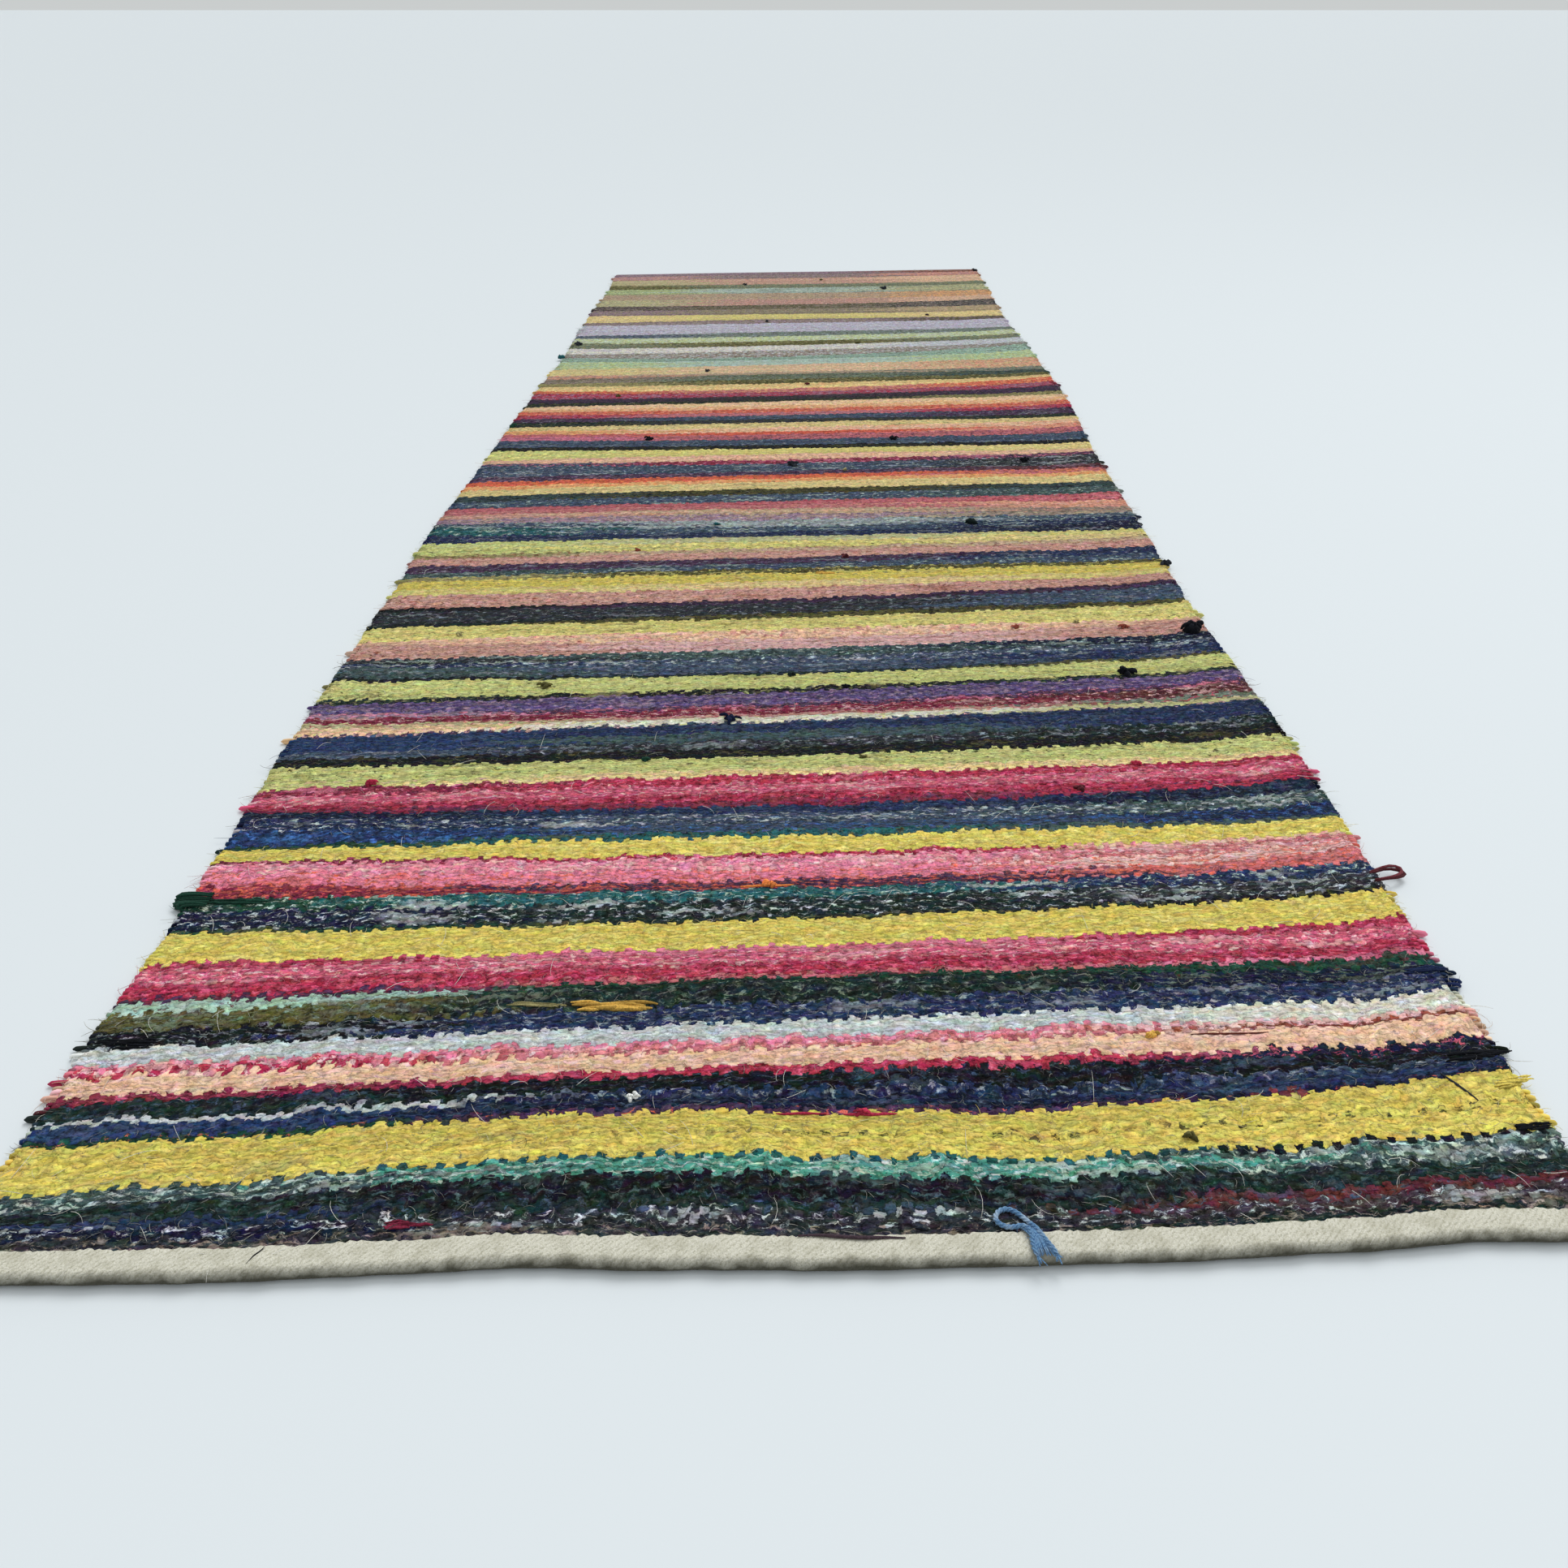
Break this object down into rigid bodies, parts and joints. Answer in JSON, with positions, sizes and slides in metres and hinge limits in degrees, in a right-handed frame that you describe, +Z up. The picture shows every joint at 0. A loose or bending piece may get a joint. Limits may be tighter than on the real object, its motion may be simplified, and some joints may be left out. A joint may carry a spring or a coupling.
{
  "type": "flat-woven striped runner rug",
  "caption": "Long flat-woven wool runner in uneven coloured stripes, with a folded tape binding over one end and a short yarn tie, for a hall or kitchen floor.",
  "frame": {"origin": "under the middle of the runner's bounding box, on the floor that it lies on", "axes": "+Z up from the floor, +Y along the runner away from its bound end, +X across it to the right as seen from the bound end"},
  "size_m": [0.906, 2.89, 0.0127],
  "materials": {
    "striped_wool": "matt heavy wool in weft-faced plain weave, striped in many colours",
    "cotton_tape": "matt cream cotton twill",
    "blue_yarn": "soft matt plied yarn"
  },
  "bodies": {
    "root": {"woven_field": "striped_wool", "end_binding": "cotton_tape", "yarn_tie": "blue_yarn"}
  },
  "joints": []
}
